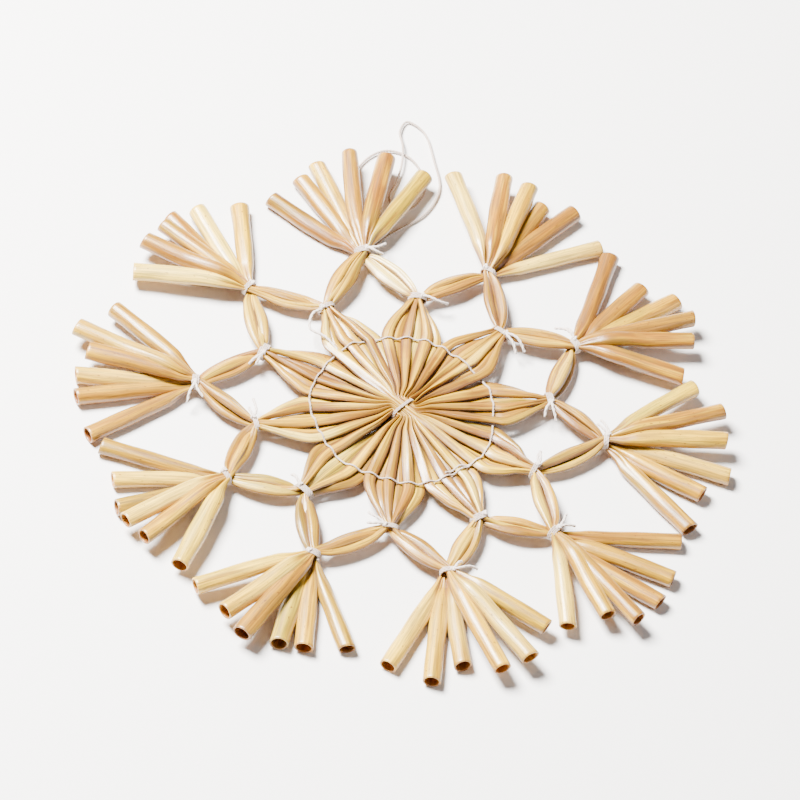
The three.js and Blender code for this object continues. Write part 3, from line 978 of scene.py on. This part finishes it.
def straw_line(straw, settings):
    """The stations of one whole straw as an object for the skin, open ends included."""
    left = ray_stations(straw, -1, settings.fullness)[::-1]
    at, track = smooth_track(left + ray_stations(straw, 1, settings.fullness), settings.step / MM)
    points = [Vector((here.x, here.y, here.height)) for here in track]
    last = len(points) - 1
    tone = 0.5 + 0.5 * wander(straw, 12)
    fold_at = math.pi / 2 + 0.9 * wander(straw, 13)
    rows = []

    def row(i, share, shift, inside, slant=0.0):
        """Adds a ring at a place of the track, scaled by share and shifted along the straw."""
        here, run = track[i], at[i]
        way = (points[min(i + 1, last)] - points[max(i - 1, 0)]).normalized()
        side = Vector((-way.y, way.x, 0.0)).normalized()
        uneven = 1 + 0.025 * math.sin(run * 0.55 + straw) + 0.02 * math.sin(run * 0.23 + 2 * straw)
        width, height = here.width / 2 * uneven, here.thickness / 2
        centre = points[i] + way * shift
        centre.z = max(centre.z, height + 0.03 - HUB.z / MM)
        run += shift
        rows.append({
            "place": lifted(centre, centre.z),
            "side_arm": (side * share + way * slant) * width * MM,
            "rise_arm": (way.cross(side) * share + way * slant * 0.6) * height * MM,
            "along": run, "inside": inside, "tone": tone, "pinch": here.pinch,
            "ridge": here.ridge, "sun": here.sun,
            "fold_at": fold_at + 0.35 * math.sin(run * 0.09 + straw),
            "skew": 0.45 * math.sin(run * 0.05 + 2.4 * straw),
        })

    bore = 1 - 2 * settings.wall / MM / (FAN_SWELL * STRAW_DIAMETER)
    depth = settings.hollow / MM
    rim = (  # share of the full oval, shift inwards and depth inside, which sets the painted shade of the open end, from the hollow to the skin
        (0.0, depth, 1.0), (0.5 * bore, depth * 0.96, 1.0), (bore * 0.97, depth * 0.8, 0.9),
        (bore * 0.99, depth * 0.45, 0.8), (bore, 0.9, 0.5), (bore, 0.25, 0.35),
        (bore + 0.02, 0.05, 0.3), (bore + 0.06, 0.0, 0.28), (0.95, 0.0, 0.25), (0.985, 0.04, 0.18),
    )
    slants = [0.13 * wander(2 * straw + end, 11) for end in (0, 1)]
    for share, inwards, inside in rim:
        row(0, share, inwards, inside, slants[0] * share)
    for i in range(1, last):
        row(i, 1.0, 0.0, 0.0)
    for share, inwards, inside in reversed(rim):
        row(last, share, -inwards, inside, slants[1] * share)

    mesh = bpy.data.meshes.new(f"whole_straw_{straw + 1:02d}")
    places = [tuple(ring.pop("place")) for ring in rows]
    mesh.from_pydata(places, [(i, i + 1) for i in range(len(rows) - 1)], [])
    for name in rows[0]:
        if name.endswith("_arm"):
            values = [value for ring in rows for value in ring[name]]
            mesh.attributes.new(name, "FLOAT_VECTOR", "POINT").data.foreach_set("vector", values)
        else:
            values = [ring[name] for ring in rows]
            mesh.attributes.new(name, "FLOAT", "POINT").data.foreach_set("value", values)
    obj = bpy.data.objects.new(mesh.name, mesh)
    bpy.context.scene.collection.objects.link(obj)
    return obj


class SNOWFLAKE_OT_straws(bpy.types.Operator):
    """Make the whole straws, from tip through the middle to tip"""
    bl_idname = "snowflake.straws"
    bl_label = "Straws"

    def execute(self, context):
        settings = context.scene.snowflake_straw
        tree = straw_skin_tree()
        material = finish("dried_straw", straw_material, settings)
        straws = []
        for straw in range(STRAW_COUNT):
            obj = straw_line(straw, settings)
            straws.append(with_tree(obj, tree, {"Sides": settings.sides, "Material": material}))
        for straw, obj in enumerate(made_real(straws)):
            onto_root(obj, [f"straw_{straw + 1:02d}"])
        return {"FINISHED"}


class SNOWFLAKE_OT_ties(bpy.types.Operator):
    """Wind the thread round the middle, the petals and the fans"""
    bl_idname = "snowflake.ties"
    bl_label = "Ties"

    def execute(self, context):
        settings = context.scene.snowflake_thread
        tree = wound_tie_tree(thread_tree_once())
        material = finish("cotton_thread", thread_material, settings)
        radius = settings.diameter / 2
        wound = []

        def wind(node, tie, half_width, half_height, turns, squareness, seed):
            obj = line_object(f"{node}_thread", [])
            direction = math.radians(tie.angle + 5 * wander(seed, 14))
            wound.append((node, with_tree(obj, tree, {
                "Turns": turns, "Half Width": half_width * MM, "Half Height": half_height * MM,
                "Band Width": (turns - 0.6) * 2.1 * radius, "Thread Radius": radius,
                "Twist Length": settings.twist_length, "Squareness": squareness,
                "Direction": direction, "Start": math.pi * wander(seed, 15),
                "Centre": lifted(tie.centre, 0.0), "Material": material})))

        most = settings.turns
        for petal in range(POINT_COUNT):
            wind(f"inner_tie_{petal + 1:02d}", inner_tie(petal), inner_tie_reach(petal), 1.3,
                 most - (petal + 1) % 2, 2.3, petal)
        for point in range(POINT_COUNT):
            wind(f"outer_tie_{point + 1:02d}", outer_tie(point), OUTER_TIE_REACH, 1.38,
                 most - point % 2, 2.3, point + 20)
        wind("centre_tie", Tie(0, 0), 3.1, 2.3, most - 2, 4.0, 40)
        made_real([obj for _, obj in wound])
        for node, obj in wound:
            onto_root(obj, [node])
        return {"FINISHED"}


class SNOWFLAKE_OT_ring_thread(bpy.types.Operator):
    """Weave the ring thread over the lower rays and under the upper ones"""
    bl_idname = "snowflake.ring_thread"
    bl_label = "Ring Thread"

    def execute(self, context):
        settings = context.scene.snowflake_thread
        line = []
        steps = 16 * RAY_COUNT
        overlap = steps // 9

        def height_at(ray):
            if not thread_passes_over(ray):
                return -0.05
            return 1.22 if layer_of_ray(ray) > 0 else 0.28

        for step in range(-overlap // 2, steps + overlap // 2 + 1):
            ray_place = step / steps * RAY_COUNT - 0.5
            ray = math.floor(ray_place)
            share = ray_place - ray
            height = mix(height_at(ray % RAY_COUNT), height_at((ray + 1) % RAY_COUNT),
                         share * share * (3 - 2 * share))
            radius = RING_RADIUS + 0.3 * math.sin(7 * step / steps * 2 * math.pi)
            if step < 0:
                radius -= 0.9 * math.sin(math.pi * min(1.0, -4 * step / overlap) / 2)
            line.append(lifted(polar(radius, 360 * step / steps), height))
        obj = line_object("ring_thread_woven", [line])
        with_tree(obj, thread_tree_once(), {
            "Radius": settings.diameter / 2, "Twist Length": settings.twist_length,
            "Material": finish("cotton_thread", thread_material, settings)})
        made_real([obj])
        onto_root(obj, ["ring_thread"])
        return {"FINISHED"}


def knot_line(centre, way, size):
    """A small overhand knot, as a closed line round a place."""
    side = Vector((-way.y, way.x, 0.0)).normalized()
    top = way.cross(side)
    line = []
    for step in range(40):
        t = 2 * math.pi * step / 40
        x = (math.sin(t) + 2 * math.sin(2 * t)) / 3
        y = (math.cos(t) - 2 * math.cos(2 * t)) / 3
        z = -math.sin(3 * t) / 2.2
        line.append(centre + (side * x + way * y * 0.9 + top * z) * size)
    return line + [line[0]]


def tail_line(start, angle, length, seed):
    """A loose thread end that leaves a knot, curls a little and sinks towards the table."""
    way = math.radians(angle)
    curl = 0.9 * wander(seed, 16)
    place = start.copy()
    line = [place.copy()]
    steps = round(length / THREAD_STEP)
    for step in range(steps):
        share = step / steps
        heading = way + curl * share + 0.25 * math.sin(5 * share + seed)
        climb = 0.35 * (1 - 3.2 * share) * (1 + 0.3 * wander(seed, 17))
        place = place + Vector((math.cos(heading), math.sin(heading), climb)) * (length / steps)
        place.z = max(place.z, 0.32 - HUB.z / MM)
        line.append(place.copy())
    return line


class SNOWFLAKE_OT_loose_ends(bpy.types.Operator):
    """Knot the ties and leave their loose thread ends, with one slack stretch of thread"""
    bl_idname = "snowflake.loose_ends"
    bl_label = "Loose Ends"

    def execute(self, context):
        settings = context.scene.snowflake_thread
        lines = []
        ties = [(inner_tie(p), inner_tie_reach(p), p) for p in range(POINT_COUNT)]
        ties += [(outer_tie(p), OUTER_TIE_REACH, p + 20) for p in range(POINT_COUNT)]
        for tie, reach, seed in ties:
            sideways = reach * 0.6 * (1 if wander(seed, 18) > 0 else -1)
            top = 1.42
            spot = tie.place(0.25 * wander(seed, 19), sideways)
            centre = Vector((spot.x, spot.y, top))
            way = Vector((tie.across.x, tie.across.y, 0.0))
            lines.append(knot_line(centre, way, 0.48))
            if wander(seed, 20) > 0.55:
                continue
            facing = tie.angle + (102 if sideways > 0 else -102)
            for end in (0, 1):
                angle = facing + 26 * (2 * end - 1) * (0.6 + 0.4 * wander(seed, 21 + end))
                length = 4.6 + 1.6 * wander(seed, 23 + end)
                lines.append(tail_line(centre, angle, length, 3 * seed + end))
        slack_from, slack_to = inner_tie(4), polar(RING_RADIUS, 176)
        route = [
            Vector((*slack_from.place(-0.8, 1.9), 1.6)), Vector((*slack_from.place(-1.2, 4.4), 1.9)),
            Vector((*slack_from.place(-4.6, 7.2), 1.7)), Vector((*(slack_to * 1.22), 1.9)),
            Vector((*slack_to, 1.0)),
        ]
        lines.append(rounded_route(route, THREAD_STEP))
        obj = line_object("thread_ends", [
            [HUB + Vector(point) * MM for point in line] for line in lines])
        paleness = [1.0] * len(obj.data.vertices)
        obj.data.attributes.new("loose", "FLOAT", "POINT").data.foreach_set("value", paleness)
        with_tree(obj, thread_tree_once(), {
            "Radius": settings.diameter / 2 * 1.4, "Twist Length": 1.6 * settings.twist_length,
            "Material": finish("cotton_thread", thread_material, settings)})
        made_real([obj])
        onto_root(obj)
        return {"FINISHED"}


class SNOWFLAKE_PT_panel(bpy.types.Panel):
    """Steps and settings of the straw snowflake"""
    bl_idname = "SNOWFLAKE_PT_panel"
    bl_label = "Straw Snowflake"
    bl_space_type = "VIEW_3D"
    bl_region_type = "UI"
    bl_category = "Straw snowflake"

    def draw(self, context):
        for operator in OPERATORS:
            self.layout.operator(operator.bl_idname)
        for settings in ("snowflake_straw", "snowflake_thread", "snowflake_stage"):
            group = getattr(context.scene, settings)
            for name in group.__annotations__:
                self.layout.prop(group, name)


OPERATORS = (
    SNOWFLAKE_OT_stage, SNOWFLAKE_OT_hanging_loop, SNOWFLAKE_OT_straws, SNOWFLAKE_OT_ties,
    SNOWFLAKE_OT_ring_thread, SNOWFLAKE_OT_loose_ends,
)
SETTINGS = {
    "snowflake_straw": StrawSettings,
    "snowflake_thread": ThreadSettings,
    "snowflake_stage": StageSettings,
}
CLASSES = (*SETTINGS.values(), *OPERATORS, SNOWFLAKE_PT_panel)


def register():
    for cls in CLASSES:
        bpy.utils.register_class(cls)
    for name, group in SETTINGS.items():
        setattr(bpy.types.Scene, name, bpy.props.PointerProperty(type=group))


def unregister():
    for name in SETTINGS:
        delattr(bpy.types.Scene, name)
    for cls in reversed(CLASSES):
        bpy.utils.unregister_class(cls)


def main():
    register()
    bpy.ops.snowflake.stage()
    bpy.ops.snowflake.hanging_loop()
    bpy.ops.snowflake.straws()
    bpy.ops.snowflake.ties()
    bpy.ops.snowflake.ring_thread()
    bpy.ops.snowflake.loose_ends()


if __name__ == "__main__":
    main()
